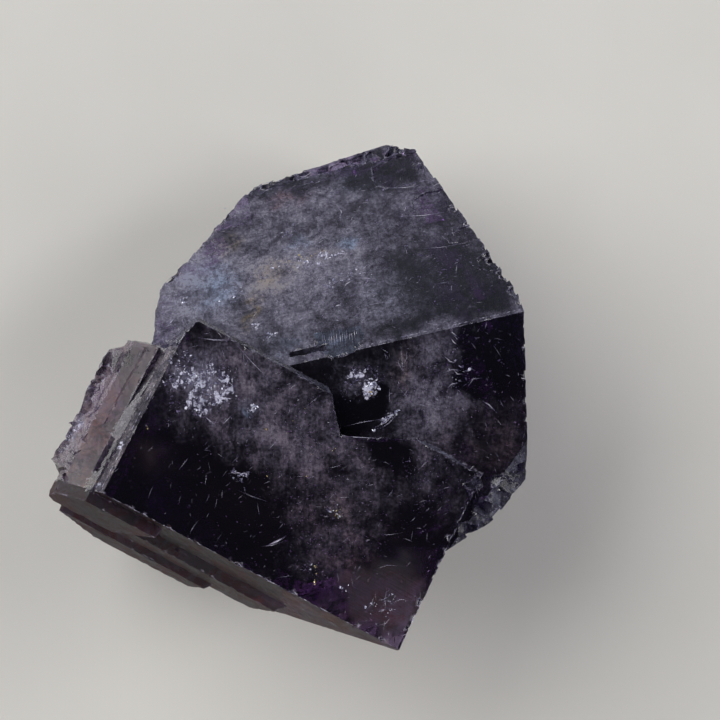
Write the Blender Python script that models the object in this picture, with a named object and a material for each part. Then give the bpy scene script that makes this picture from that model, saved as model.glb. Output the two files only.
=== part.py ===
# Purple fluorite specimen: a large cube crystal and a cleaved one grown through each other,
# broken off their rock and lying on the broken back.
# One solid. Lengths are in millimetres and turned to metres where the meshes are made.

import bpy
import bmesh
import math
import random
from mathutils import Matrix, Vector
from mathutils.bvhtree import BVHTree

MM = 0.001
SEED = 41

# Front crystal: a slab-like cube whose large face lies level
FACE_HEIGHT = 17.0          # large face above the resting plane
FACE_LENGTH = 24.0
FACE_WIDTH = 14.2
FACE_HEADING = -26.4        # of the long edges, degrees from +X
FACE_CORNER = (-19.2, -10.0)
LEFT_SLOPE = 3.0            # outward slope of the side faces, degrees
LOWER_SLOPE = 6.0
EDGE_STRIP = 0.5            # bevel along the left edge of the large face

# Back crystal: its cube face dips to the lower left, its cleavage face leans back
DIP = (0.24, 0.34)          # rise of the cube face per mm along X and Y
DIP_POINT = (6.1, -5.8, FACE_HEIGHT)
CLEAVAGE_ANGLE = 53.0       # between the cube face and the cleavage face
RIDGE_START = (-2.92, 0.20)
RIDGE_END = (10.38, 3.44)
BAND_WIDTH = 2.45           # narrow face along the ridge
BAND_DROP = 0.35

# Broken back
UNDERCUT = 24.0             # lean of the broken flanks, degrees from upright
LEDGE_UNDERCUT = 48.0       # lean under the lower ledges
CORE_CENTRE = (-1.0, -1.0)
SPALLS = 58
REST_HOLLOWS = 9
HEADROOM = 2.8              # solid left over a spall, so that the upper faces stay whole

UP = Vector((0.0, 0.0, 1.0))


def heading(degrees):
    """Level direction at an angle from +X."""
    return Vector((math.cos(math.radians(degrees)), math.sin(math.radians(degrees)), 0.0))


def leaning(level, degrees):
    """Normal of a flank that faces a level direction and is turned up, or down if negative."""
    tilt = math.radians(degrees)
    return (level.normalized() * math.cos(tilt) + UP * math.sin(tilt)).normalized()


ALONG = heading(FACE_HEADING)
ACROSS = heading(FACE_HEADING + 90.0)


def on_front(u, v, z=FACE_HEIGHT):
    """Point given along and across the front crystal from its lower left corner."""
    corner = Vector((FACE_CORNER[0], FACE_CORNER[1], 0.0))
    return corner + ALONG * u + ACROSS * v + UP * z


def front_direction(u, v, z):
    return (ALONG * u + ACROSS * v + UP * z).normalized()


# Faces of the back crystal
CUBE_NORMAL = Vector((-DIP[0], -DIP[1], 1.0)).normalized()


def on_cube_face(x, y):
    rise = DIP[0] * (x - DIP_POINT[0]) + DIP[1] * (y - DIP_POINT[1])
    return Vector((x, y, DIP_POINT[2] + rise))


RIDGE = (on_cube_face(*RIDGE_END) - on_cube_face(*RIDGE_START)).normalized()
BACKWARD = CUBE_NORMAL.cross(RIDGE)
CLEAVAGE_NORMAL = (CUBE_NORMAL * math.cos(math.radians(CLEAVAGE_ANGLE))
                   + BACKWARD * math.sin(math.radians(CLEAVAGE_ANGLE))).normalized()
DOWN_SLOPE = CLEAVAGE_NORMAL.cross(RIDGE)


def on_cleavage(along, down, out=0.0):
    """Point on the cleavage face, from the ridge's left end along the ridge and down the face."""
    return on_cube_face(*RIDGE_START) + RIDGE * along + DOWN_SLOPE * down + CLEAVAGE_NORMAL * out


def new_collection(name):
    collection = bpy.data.collections.new(name)
    bpy.context.scene.collection.children.link(collection)
    return collection


def add_object(name, mesh_data, collection):
    mesh = bpy.data.meshes.new(name)
    mesh_data.to_mesh(mesh)
    mesh_data.free()
    made = bpy.data.objects.new(name, mesh)
    collection.objects.link(made)
    return made


def slice_off(solid, point, normal):
    """Cut a solid with a plane, drop what lies outside and close the cut."""
    geometry = solid.verts[:] + solid.edges[:] + solid.faces[:]
    cut = bmesh.ops.bisect_plane(solid, geom=geometry, dist=1e-8, plane_co=Vector(point) * MM,
                                 plane_no=normal, clear_outer=True)
    rim = [item for item in cut["geom_cut"] if isinstance(item, bmesh.types.BMEdge)]
    if rim:
        bmesh.ops.holes_fill(solid, edges=rim, sides=0)


def crystal(name, faces, collection, reach=90.0):
    """Convex solid bounded by planes, each a point on it and its outward direction."""
    solid = bmesh.new()
    above_rest = Matrix.Translation(UP * reach * MM / 2)
    bmesh.ops.create_cube(solid, size=reach * MM, matrix=above_rest)
    for point, normal in faces:
        slice_off(solid, point, normal)
    bmesh.ops.dissolve_limit(solid, angle_limit=math.radians(0.5), verts=solid.verts, edges=solid.edges)
    bmesh.ops.recalc_face_normals(solid, faces=solid.faces)
    return add_object(name, solid, collection)


def chip(name, place, size, turn, collection):
    """Small faceted cutter: a cube with its corners cut off, stretched and turned."""
    solid = bmesh.new()
    bmesh.ops.create_cube(solid, size=1.0)
    bmesh.ops.bevel(solid, geom=solid.verts[:], offset=0.28, affect="VERTICES", segments=1, profile=0.5,
                    material=-1)
    scale = Matrix.Diagonal((size[0] * MM, size[1] * MM, size[2] * MM, 1.0))
    matrix = Matrix.Translation(Vector(place) * MM) @ turn.to_matrix().to_4x4() @ scale
    bmesh.ops.transform(solid, matrix=matrix, verts=solid.verts)
    return add_object(name, solid, collection)


def combine(target, guide, operation):
    """Boolean step on the target's mesh; the guide is kept as a wire."""
    step = target.modifiers.new(operation.title(), "BOOLEAN")
    step.operation = operation
    step.solver = "EXACT"
    step.object = guide
    bpy.context.view_layer.update()
    evaluated = target.evaluated_get(bpy.context.evaluated_depsgraph_get())
    shaped = bpy.data.meshes.new_from_object(evaluated)
    target.modifiers.remove(step)
    guide.hide_render = True
    guide.display_type = "WIRE"
    return shaped


def is_one_body(mesh):
    """True if every edge has two faces and all faces hang together."""
    solid = bmesh.new()
    solid.from_mesh(mesh)
    closed = all(len(edge.link_faces) == 2 for edge in solid.edges)
    reached = set()
    waiting = solid.faces[:1]
    while waiting:
        face = waiting.pop()
        if face in reached:
            continue
        reached.add(face)
        waiting += [other for edge in face.edges for other in edge.link_faces if other not in reached]
    whole = len(reached) == len(solid.faces) > 0
    solid.free()
    return closed and whole


def grow(target, guides):
    for guide in guides:
        target.data = combine(target, guide, "UNION")


def cut(target, guides):
    """Cut with each guide in turn; a cut that would split the stone or only hollow it is left out."""
    for guide in guides:
        shaped = combine(target, guide, "DIFFERENCE")
        if is_one_body(shaped):
            target.data = shaped
        else:
            bpy.data.meshes.remove(shaped)


def front_crystal(collection):
    """The large level face, its side faces and the breaks under them."""
    corner_cut = (on_front(-0.15, 10.9) + on_front(0.9, 14.1)) / 2
    faces = [
        (on_front(0, 0), UP),
        (on_front(0, 0), leaning(-ALONG, LEFT_SLOPE)),
        (on_front(0, 0), leaning(-ACROSS, LOWER_SLOPE)),
        (on_front(FACE_LENGTH, 0), leaning(ALONG, -4.0)),
        (on_front(0, FACE_WIDTH), leaning(ACROSS, 5.0)),
        (corner_cut, front_direction(-3.2, 1.05, 0.1)),
        (on_front(0, 6, 11.5), leaning(-ALONG, -UNDERCUT)),
        (on_front(0, -0.9, 8.2), leaning(-ACROSS, -UNDERCUT)),
        (on_front(FACE_LENGTH + 0.4, -0.4), front_direction(0.60, -0.20, -0.77)),
        (on_front(0, FACE_WIDTH - 0.35), front_direction(0.0, 0.8, 0.6)),
        (on_front(0, 0, FACE_HEIGHT - EDGE_STRIP), leaning(-ALONG, 42.0)),
    ]
    return crystal("front_block", faces, collection)


def left_ledges(collection):
    """Stepped growth layers that stand out from the left side face."""
    inner = crystal("left_ledge_inner", [
        (on_front(-0.70, 5, FACE_HEIGHT - 1.5), front_direction(-0.62, 0.02, 0.78)),
        (on_front(-2.1, 0), leaning(-ALONG, 4.0)),
        (on_front(0, -0.75), leaning(-ACROSS, 8.0)),
        (on_front(-0.5, 10.9), front_direction(-0.30, 0.92, 0.2)),
        (on_front(-2.1, 6, 11.6), leaning(-ALONG, -UNDERCUT)),
        (on_front(-1.0, -0.75, 10.2), leaning(-ALONG - ACROSS * 1.2, -UNDERCUT)),
        (on_front(0, -1.25, 12.4), leaning(-ACROSS, -LEDGE_UNDERCUT)),
        (on_front(4.4, 0, 14.6), front_direction(0.80, -0.10, -0.55)),
        (on_front(0, 0, FACE_HEIGHT - 1.0), UP),
    ], collection)
    outer = crystal("left_ledge_outer", [
        (on_front(-2.0, 5, FACE_HEIGHT - 2.7), front_direction(-0.50, 0.06, 0.86)),
        (on_front(-3.0, 5), leaning(-ALONG, 8.0)),
        (on_front(-2.0, 0.6), front_direction(-0.30, -0.95, 0.0)),
        (on_front(-2.4, 9.8), front_direction(-0.55, 0.80, 0.15)),
        (on_front(-2.9, 5, 12.4), leaning(-ALONG, -UNDERCUT - 8.0)),
        (on_front(2.0, 0), ALONG),
        (on_front(0, 0, FACE_HEIGHT - 2.2), UP),
    ], collection)
    made = [inner, outer]
    # thin layers that taper out: inner and outer face, far end along the edge, drop of the top
    layers = [(-0.84, -1.24, 10.8, 0.75), (-1.75, -2.25, 10.3, 1.75)]
    for index, (near, far, end, drop) in enumerate(layers):
        made.append(crystal("left_layer_%d" % index, [
            (on_front(near, end, FACE_HEIGHT - drop), front_direction(-0.35, -0.16, 0.92)),
            (on_front(near, 8.0), front_direction(0.98, -0.03, 0.18)),
            (on_front(far, 8.0, FACE_HEIGHT - drop), leaning(-ALONG, 9.0)),
            (on_front(near, end), front_direction(-0.40, 0.90, 0.15)),
            (on_front(near, 2.0), -ACROSS),
            (on_front(near, 8.0, 12.8), leaning(-ALONG, -80.0)),
        ], collection))
    return made


def lower_ledges(collection):
    """Two layers that step out under the lower edge and thin out to the right."""
    made = []
    layers = [("lower_ledge_inner", 0.40, 3.0, 16.5, 9.6), ("lower_ledge_outer", 0.85, 5.2, 11.5, 8.4)]
    for name, out, depth, length, foot in layers:
        made.append(crystal(name, [
            (on_front(4, -out, FACE_HEIGHT - depth), front_direction(0.05, -0.62, 0.78)),
            (on_front(4, -out - 0.35), leaning(-ACROSS, 4.0)),
            (on_front(-0.6, 0), leaning(-ALONG, 5.0)),
            (on_front(length, -out, FACE_HEIGHT - depth), front_direction(0.66, -0.25, -0.30)),
            (on_front(4, -out - 0.3, foot), leaning(-ACROSS, -LEDGE_UNDERCUT)),
            (on_front(-0.8, -out, foot + 2.4), leaning(-ALONG - ACROSS * 0.6, -LEDGE_UNDERCUT)),
            (on_front(0, 4.0), ACROSS),
            (on_front(0, 0, FACE_HEIGHT - 1.2), UP),
        ], collection))
    return made


def back_crystal(collection):
    """Dark cube face, pale cleavage face, the band between them and the cleaved sides."""
    ridge_left = on_cube_face(*RIDGE_START)
    band_low = ridge_left - BACKWARD * BAND_DROP
    band_top = on_cleavage(0.0, BAND_WIDTH)
    band_right = on_cleavage(12.0, BAND_WIDTH + 0.5)
    band_normal = (band_right - band_low).cross(band_top - band_low).normalized()
    top_left = Vector((-5.86, 14.36, 5.0))
    top_right = Vector((5.6, 17.1, 8.8))
    left = Vector((-13.2, 5.7, 7.7))
    faces = [
        (ridge_left, CUBE_NORMAL),
        (ridge_left, CLEAVAGE_NORMAL),
        (band_low, band_normal),
        (Vector((9.05, 7.79, 17.3)), leaning(heading(19.7), 1.0)),
        (top_right, leaning(heading(72.0), -4.0)),
        (Vector((-0.05, 16.2, 6.5)), leaning(heading(105.9), -8.0)),
        (top_left, leaning(heading(132.4), -14.0)),
        (left, leaning(heading(142.6), -16.0)),
        (left, leaning(heading(178.2), -18.0)),
        (Vector((11.27, -4.4, 18.7)), leaning(heading(6.2), 3.0)),
        (Vector((11.9, -8.2, 16.0)), leaning(heading(-34.0), -4.0)),
        (Vector((10.9, -10.5, 15.0)), leaning(heading(-55.6), -8.0)),
        (Vector((3.5, -13.0, 12.0)), leaning(heading(-88.0), -14.0)),
        (Vector((9.8, -7.9, 17.3)), Vector((0.13, -0.50, 0.85)).normalized()),
        (Vector((11.4, 0.0, 9.0)), leaning(heading(4.0), -UNDERCUT)),
        (Vector((10.8, -9.5, 11.0)), leaning(heading(-45.0), -UNDERCUT)),
        (Vector((0.0, 15.6, 3.4)), leaning(heading(100.0), -46.0)),
        (Vector((-10.6, 8.6, 4.2)), leaning(heading(146.0), -45.0)),
        (Vector((-12.5, -2.0, 6.0)), leaning(heading(200.0), -30.0)),
        (Vector((-6.0, -6.0, 8.0)), leaning(heading(235.0), -20.0)),
    ]
    return crystal("back_block", faces, collection)


def broken_core(collection):
    """Rough lump under both crystals, where the specimen came off its rock."""
    flanks = [(-172, 11.6, -22), (-131, 11.0, -26), (-88, 10.6, -18), (-38, 10.2, -20), (8, 9.9, -14),
              (52, 9.4, -26), (97, 11.2, -20), (142, 10.0, -24)]
    centre = Vector((CORE_CENTRE[0], CORE_CENTRE[1], 0.0))
    faces = [(centre + heading(turn) * reach, leaning(heading(turn), lean)) for turn, reach, lean in flanks]
    faces += [(Vector((0.0, 0.0, 10.5)), UP), (on_cleavage(0.0, 0.0, -1.2), CLEAVAGE_NORMAL),
              (Vector((-12.6, 3.0, 6.0)), leaning(heading(160), -16.0))]
    return crystal("core_block", faces, collection)


def notch_cutter(collection):
    """Step in the front crystal where the back crystal's cube face lies lower."""
    floor = Vector(DIP_POINT) - CUBE_NORMAL * 0.4
    left_top = Vector((-2.75, -1.9, FACE_HEIGHT))
    left_low = Vector((-1.95, -5.7, FACE_HEIGHT))
    right_low = Vector((7.6, -5.9, FACE_HEIGHT))
    side = (left_low - left_top).normalized()
    sill = (right_low - left_low).normalized()
    return crystal("notch_cut", [
        (floor, -CUBE_NORMAL),
        (left_top, leaning(Vector((side.y, -side.x, 0.0)), 6.0)),
        (left_low, leaning(Vector((sill.y, -sill.x, 0.0)), 8.0)),
        (Vector((0.0, 9.0, 0.0)), Vector((0.0, 1.0, 0.0))),
        (Vector((14.0, 0.0, 0.0)), Vector((1.0, 0.0, 0.0))),
        (Vector((0.0, 0.0, FACE_HEIGHT + 8.0)), UP),
    ], collection)


def cleavage_turn(tilt=0.0):
    """Rotation to the ridge, the fall line and the normal of the cleavage face."""
    axes = Matrix((RIDGE, DOWN_SLOPE, CLEAVAGE_NORMAL)).transposed()
    return (axes @ Matrix.Rotation(math.radians(tilt), 3, "X")).to_quaternion()


def ridge_details(collection):
    """Narrow open seam left of the band, and the small sunk facet that starts the band."""
    seam = chip("ridge_seam", on_cleavage(-1.35, 0.72), (2.6, 0.42, 1.6), cleavage_turn(), collection)
    facet = chip("ridge_facet", on_cleavage(1.05, 1.35, 0.86), (3.4, 3.6, 2.0), cleavage_turn(9.0), collection)
    return [seam, facet]


def growth_steps(collection):
    """Shallow terraces that run in from the right edge and along the far edge of the cleavage face."""
    steps = [(8.8, 16.3, 5.4, 3.2, 0.22), (10.6, 12.4, 4.4, 1.8, 0.15), (12.0, 8.2, 3.4, 1.5, 0.15),
             (13.2, 5.0, 2.4, 1.6, 0.22), (-9.0, 13.4, 5.0, 2.6, 0.35), (0.6, 18.7, 6.5, 1.6, 0.25)]
    made = []
    for index, (along, down, length, width, depth) in enumerate(steps):
        place = on_cleavage(along, down, 1.0 - depth)
        made.append(chip("growth_step_%d" % index, place, (length, width, 2.0), cleavage_turn(3.0), collection))
    return made


def random_turn(pick):
    axis = Vector([pick.uniform(-1, 1) for _ in range(3)])
    return Matrix.Rotation(pick.uniform(0, math.tau), 3, axis).to_quaternion()


def edge_chips(collection, pick):
    """Small chips knocked out of the crystals' edges and corners."""
    far_left, far_right, near_right = (-5.9, 14.3, 4.9), (5.5, 17.1, 8.5), (9.05, 7.79, 17.3)
    left_tip, ridge_tip, low_right = (-13.1, 5.7, 7.6), (10.4, 3.4, 21.1), (11.6, -7.8, 17.6)
    edges = [
        (on_front(-0.1, 0.4), on_front(-0.1, 10.6), 6, 0.32),
        (on_front(0.8, -0.1), on_front(23.0, -0.1), 11, 0.36),
        (on_front(FACE_LENGTH, 1.0), on_front(FACE_LENGTH, 12.0), 9, 0.30),
        (on_front(1.4, FACE_WIDTH), on_front(10.6, FACE_WIDTH), 4, 0.34),
        (on_front(-3.5, 0.9, 13.6), on_front(-3.1, 9.6, 13.6), 12, 0.80),
        (on_front(-2.2, 0.0, 14.6), on_front(-2.2, 4.0, 14.6), 3, 0.50),
        (on_front(0.4, -0.75, 13.9), on_front(15.0, -0.6, 13.9), 7, 0.42),
        (Vector(far_left), Vector(far_right), 12, 0.75),
        (Vector(far_left), Vector(left_tip), 9, 0.65),
        (Vector(far_right), Vector(near_right), 5, 0.36),
        (Vector(near_right), Vector(ridge_tip), 5, 0.60),
        (Vector(ridge_tip), Vector(low_right), 6, 0.30),
    ]
    made = []
    for row, (start, end, count, size) in enumerate(edges):
        for index in range(count):
            place = start.lerp(end, (index + pick.uniform(0.1, 0.9)) / count)
            spread = [size * pick.uniform(0.6, 1.7) for _ in range(3)]
            made.append(chip("edge_chip_%02d_%02d" % (row, index), place, spread, random_turn(pick), collection))
    return made


def back_spalls(specimen, collection, pick):
    """Ledges and hollows broken into the flanks, along the cleavage directions."""
    surface = bmesh.new()
    surface.from_mesh(specimen.data)
    tree = BVHTree.FromBMesh(surface)
    surface.free()
    made = []
    for index in range(SPALLS):
        around = 360.0 * (index + pick.uniform(0, 0.8)) / SPALLS
        level = pick.uniform(1.2, 12.5)
        size = (pick.uniform(1.6, 5.5), pick.uniform(1.6, 5.5), pick.uniform(0.8, 2.4))
        inward = -heading(around * 3.0)
        start = Vector((CORE_CENTRE[0], CORE_CENTRE[1], level)) * MM - inward * 60.0 * MM
        place, outward = tree.ray_cast(start, inward)[:2]
        if place is None or outward.z > 0.05:
            continue
        above = tree.ray_cast(place + inward * 0.6 * MM, UP)[0]
        if above and (above - place).length > HEADROOM * MM:
            made.append(chip("spall_%02d" % index, place / MM, size, cleavage_turn(pick.uniform(-6, 6)), collection))
    return made


def rest_hollows(collection, pick):
    """Shallow cleavage steps in the face that the specimen lies on."""
    made = []
    for index in range(REST_HOLLOWS):
        around = 360.0 * (index + pick.uniform(0, 0.6)) / REST_HOLLOWS
        place = heading(around) * pick.uniform(6.5, 10.5)
        size = (pick.uniform(4.0, 9.0), pick.uniform(3.0, 6.0), pick.uniform(0.4, 1.4))
        spin = Matrix.Rotation(math.radians(pick.choice((0, 60, 120)) + 14), 3, "Z").to_quaternion()
        made.append(chip("rest_hollow_%02d" % index, place, size, spin, collection))
    return made


def rough_corner(collection, pick):
    """Hollows in the broken surface at the lower right, and the groove beside the front crystal."""
    hollows = [(10.6, -9.2, 16.6, 1.6), (8.9, -10.4, 15.9, 1.4), (7.9, -9.0, 16.7, 1.2), (11.3, -7.6, 17.2, 1.0),
               (9.6, -8.6, 17.0, 0.9), (8.0, -12.0, 15.0, 1.3), (10.2, -10.8, 15.2, 1.0)]
    made = []
    for index, (x, y, z, size) in enumerate(hollows):
        spread = (size, size * 0.7, size * 0.8)
        made.append(chip("hollow_%d" % index, (x, y, z), spread, random_turn(pick), collection))
    return made


def purple_fluorite():
    material = bpy.data.materials.new("purple_fluorite")
    material.use_nodes = True
    shader = material.node_tree.nodes["Principled BSDF"]
    shader.inputs["Base Color"].default_value = (0.060, 0.035, 0.110, 1.0)
    shader.inputs["Roughness"].default_value = 0.16
    shader.inputs["Metallic"].default_value = 0.0
    shader.inputs["IOR"].default_value = 1.434
    shader.inputs["Transmission Weight"].default_value = 0.5
    return material


def main():
    for item in list(bpy.data.objects):
        bpy.data.objects.remove(item, do_unlink=True)
    pick = random.Random(SEED)
    part = new_collection("fluorite_specimen")
    growths = new_collection("growth_blocks")
    steps = new_collection("step_cuts")

    specimen = front_crystal(part)
    specimen.name = "fluorite_crystals"
    cut(specimen, [notch_cutter(steps)])
    grow(specimen, left_ledges(growths) + lower_ledges(growths))
    grow(specimen, [back_crystal(growths), broken_core(growths)])
    cut(specimen, ridge_details(steps) + growth_steps(steps))
    cut(specimen, back_spalls(specimen, steps, pick))
    cut(specimen, rest_hollows(steps, pick))
    cut(specimen, rough_corner(steps, pick) + edge_chips(steps, pick))
    specimen.data.materials.append(purple_fluorite())


main()
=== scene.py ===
import bpy
import bmesh
import math
import random
import numpy as np
from mathutils import Matrix, Vector, noise
from mathutils.bvhtree import BVHTree


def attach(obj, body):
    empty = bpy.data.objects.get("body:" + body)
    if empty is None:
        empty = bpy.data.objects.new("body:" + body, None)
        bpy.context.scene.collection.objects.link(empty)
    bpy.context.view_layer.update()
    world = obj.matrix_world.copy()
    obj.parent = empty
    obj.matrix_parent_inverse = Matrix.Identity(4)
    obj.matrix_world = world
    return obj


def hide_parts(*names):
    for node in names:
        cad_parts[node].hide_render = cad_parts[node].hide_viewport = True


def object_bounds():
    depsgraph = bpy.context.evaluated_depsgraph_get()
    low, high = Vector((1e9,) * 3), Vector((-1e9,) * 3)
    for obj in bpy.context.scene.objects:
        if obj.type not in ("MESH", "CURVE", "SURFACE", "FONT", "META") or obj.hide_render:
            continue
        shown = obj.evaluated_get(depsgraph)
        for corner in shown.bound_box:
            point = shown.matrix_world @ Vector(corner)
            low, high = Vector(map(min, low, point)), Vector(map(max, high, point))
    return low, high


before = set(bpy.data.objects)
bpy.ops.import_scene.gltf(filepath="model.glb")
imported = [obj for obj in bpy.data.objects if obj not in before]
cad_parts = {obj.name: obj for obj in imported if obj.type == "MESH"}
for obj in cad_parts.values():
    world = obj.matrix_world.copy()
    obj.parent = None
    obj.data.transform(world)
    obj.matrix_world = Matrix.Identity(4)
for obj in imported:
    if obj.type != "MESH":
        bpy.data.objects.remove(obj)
cadLow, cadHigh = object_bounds()
print("frame loaded:", sorted(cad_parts))

mm = 0.001
up = Vector((0.0, 0.0, 1.0))
noise.seed_set(11)  # the vector noise would otherwise start from the clock


def srgb(code, alpha=1.0):  # a hex colour as the linear values that a shader wants
    parts = [int(code[i:i + 2], 16) / 255 for i in (1, 3, 5)]
    return tuple(p / 12.92 if p <= 0.04045 else ((p + 0.055) / 1.055) ** 2.4 for p in parts) + (alpha,)


# Camera: 200 mm above the stone, leaning a little to the left and towards the front
shot = {"target": (0.0, 0.0, 15.0), "lean": (-0.27, -0.15), "distance": 200.0, "millimetresAcross": 720 / 14}


def placeCamera():
    back = Vector((shot["lean"][0], shot["lean"][1], 1.0)).normalized()
    farSide = (Vector((0.0, 1.0, 0.0)) - back * back.y).normalized()
    camera = bpy.data.objects.new("camera", bpy.data.cameras.new("camera"))
    camera.data.sensor_width = 36.0
    camera.data.lens = 36.0 * shot["distance"] / shot["millimetresAcross"]
    camera.data.clip_start = 0.001
    turn = Matrix((farSide.cross(back), farSide, back)).transposed().to_4x4()
    camera.matrix_world = Matrix.Translation((Vector(shot["target"]) + back * shot["distance"]) * mm) @ turn
    bpy.context.scene.collection.objects.link(camera)
    bpy.context.scene.camera = camera


def addPiece(name, body):
    mesh = bpy.data.meshes.new(name)
    body.to_mesh(mesh)
    body.free()
    made = bpy.data.objects.new(name, mesh)
    bpy.context.scene.collection.objects.link(made)
    return made


def addNode(tree, kind, inputs=None, **settings):  # inputs: values or sockets, by name or number
    node = tree.nodes.new("ShaderNode" + kind)
    for name, value in settings.items():
        setattr(node, name, value)
    for name, value in (inputs or {}).items():
        if isinstance(value, bpy.types.NodeSocket):
            tree.links.new(value, node.inputs[name])
        else:
            node.inputs[name].default_value = value
    return node


def mixColours(tree, amount, first, second):
    return addNode(tree, "Mix", {0: amount, 6: first, 7: second}, data_type="RGBA").outputs[2]


def noiseAt(tree, where, size, detail, roughness=0.5, distortion=0.0):  # size in millimetres
    return addNode(tree, "TexNoise", {"Vector": where, "Scale": 1000 / size, "Detail": detail, "Roughness": roughness,
                                      "Distortion": distortion})


# Light: a bright panel at the upper left, a broad faint one behind the stone, small ones right and in front
panels = [  # places and sizes in millimetres
    {"name": "leftPanel", "place": (-430.0, 150.0, 300.0), "size": (620.0, 480.0), "watts": 3.6, "tint": "#fffefc"},
    {"name": "farPanel", "place": (-60.0, 480.0, 190.0), "size": (640.0, 320.0), "watts": 0.22, "tint": "#d9e2ff"},
    {"name": "rightPanel", "place": (440.0, 40.0, 260.0), "size": (300.0, 260.0), "watts": 1.3, "tint": "#fffefc"},
    {"name": "frontPanel", "place": (120.0, -450.0, 220.0), "size": (260.0, 200.0), "watts": 0.3, "tint": "#fffefc"},
]
room = {"overhead": "#55546a", "horizon": "#bcbec8", "strength": 0.45, "fade": (0.05, 0.75),
        "lookAt": (0.0, 0.0, 12.0)}


def lightStage():
    for panel in panels:
        lamp = bpy.data.lights.new(panel["name"], "AREA")
        lamp.shape = "RECTANGLE"
        lamp.size, lamp.size_y = panel["size"][0] * mm, panel["size"][1] * mm
        lamp.energy = panel["watts"]
        lamp.color = srgb(panel["tint"])[:3]
        holder = bpy.data.objects.new(panel["name"], lamp)
        away = (Vector(panel["place"]) - Vector(room["lookAt"])).normalized()
        turn = away.to_track_quat("Z", "Y").to_matrix().to_4x4()
        holder.matrix_world = Matrix.Translation(Vector(panel["place"]) * mm) @ turn
        bpy.context.scene.collection.objects.link(holder)
    world = bpy.data.worlds.new("room")
    bpy.context.scene.world = world
    world.use_nodes = True
    tree = world.node_tree
    tree.nodes.clear()
    where = addNode(tree, "TexCoord")
    height = addNode(tree, "SeparateXYZ", {0: where.outputs["Generated"]})
    low, high = room["fade"]
    fade = addNode(tree, "MapRange", {"Value": height.outputs["Z"], "From Min": low, "From Max": high},
                   interpolation_type="SMOOTHSTEP")
    tint = mixColours(tree, fade.outputs[0], srgb(room["horizon"]), srgb(room["overhead"]))
    glow = addNode(tree, "Background", {"Color": tint, "Strength": room["strength"]})
    out = addNode(tree, "OutputWorld")
    tree.links.new(glow.outputs[0], out.inputs["Surface"])


# Floor: a matt painted board, with the faint mottle of a rolled coat
board = {"side": 3000.0, "colour": "#e0ded8", "shade": "#dad8d1", "mottle": 9.0, "grain": 0.8, "grainHeight": 0.04,
         "roughness": 0.85, "specular": 0.2}


def layFloor():
    plane = bmesh.new()
    bmesh.ops.create_grid(plane, x_segments=1, y_segments=1, size=board["side"] / 2 * mm)
    floor = addPiece("floor", plane)
    paint = bpy.data.materials.new("rolledBoardPaint")
    paint.use_nodes = True
    tree = paint.node_tree
    shader = tree.nodes["Principled BSDF"]
    where = addNode(tree, "TexCoord").outputs["Object"]
    mottle = noiseAt(tree, where, board["mottle"], 5.0).outputs[0]
    coat = mixColours(tree, mottle, srgb(board["colour"]), srgb(board["shade"]))
    grain = noiseAt(tree, where, board["grain"], 3.0).outputs[0]
    relief = addNode(tree, "Bump", {"Height": grain, "Strength": 0.3, "Distance": board["grainHeight"] * mm})
    tree.links.new(coat, shader.inputs["Base Color"])
    tree.links.new(relief.outputs[0], shader.inputs["Normal"])
    shader.inputs["Roughness"].default_value = board["roughness"]
    shader.inputs["Specular IOR Level"].default_value = board["specular"]
    floor.data.materials.append(paint)


placeCamera()
lightStage()
layFloor()
bpy.context.scene.view_settings.view_transform = "Standard"
print("camera, light and floor are set")

# The three large faces, in millimetres: a corner, two directions in the face and the outward one
heading = math.radians(-26.4)  # of the front face's lower edge
alongFront = Vector((math.cos(heading), math.sin(heading), 0.0))
upFront = up.cross(alongFront)
frontCorner = Vector((-19.2, -10.0, 17.0))
cubeNormal = Vector((-0.24, -0.34, 1.0)).normalized()
ridgeStart = Vector((-2.92, 0.20, 16.875))
ridgeEnd = Vector((10.38, 3.44, 21.169))
ridge = (ridgeEnd - ridgeStart).normalized()
cleavageNormal = Matrix.Rotation(math.radians(-53.0), 3, ridge) @ cubeNormal
largeFaces = {
    "front": (frontCorner, alongFront, upFront, up),
    "cube": (ridgeStart, ridge, ridge.cross(cubeNormal), cubeNormal),
    "cleavage": (ridgeStart, ridge, cleavageNormal.cross(ridge), cleavageNormal),
    "wall": (frontCorner, alongFront, -up, -upFront),  # the ledges below the front face
}
facetNormal = Matrix.Rotation(math.radians(9.0), 3, ridge) @ cleavageNormal  # the small striped facet on the ridge


def onFace(face, across, down, out=0.0):
    corner, first, second, outward = largeFaces[face]
    return (corner + first * across + second * down + outward * out) * mm


# The stone: the frame's solid with a finer mesh, hackly breaks and worn edges
stone = {
    "meshSize": 0.54, "edgeMeshSize": 0.30, "mostSplits": 9,   # millimetres, and rounds of splitting
    "weld": 0.0002,
    "breakRelief": 0.20, "breakSize": 1.5, "breakSteps": 4.5,  # hackles on a broken flank: height, width, levels
    "stepShare": 0.75, "waveShare": 0.15, "tearShare": 0.22, "tearSize": 0.45,
    "chipDepth": 0.20, "chipSize": 0.5, "chipFrom": 0.08,      # nicks along the edges
    "wearLevel": 0.45, "wearSway": 1.2,                        # frosting along the same edges
    "sharpAngle": math.radians(24.0),
}


def isSharp(edge):
    return edge.calc_face_angle(0.0) > stone["sharpAngle"]


def splitLongEdges(body, longest, nearSharp=False):
    for _ in range(stone["mostSplits"]):
        long = [e for e in body.edges if e.calc_length() > longest * mm]
        if nearSharp:
            sharp = {v for e in body.edges if isSharp(e) for v in e.verts}
            long = [e for e in long if e.verts[0] in sharp or e.verts[1] in sharp]
        if not long:
            break
        bmesh.ops.subdivide_edges(body, edges=long, cuts=1)
        bmesh.ops.triangulate(body, faces=[f for f in body.faces if len(f.verts) > 3], quad_method="SHORT_EDGE",
                              ngon_method="BEAUTY")


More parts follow.
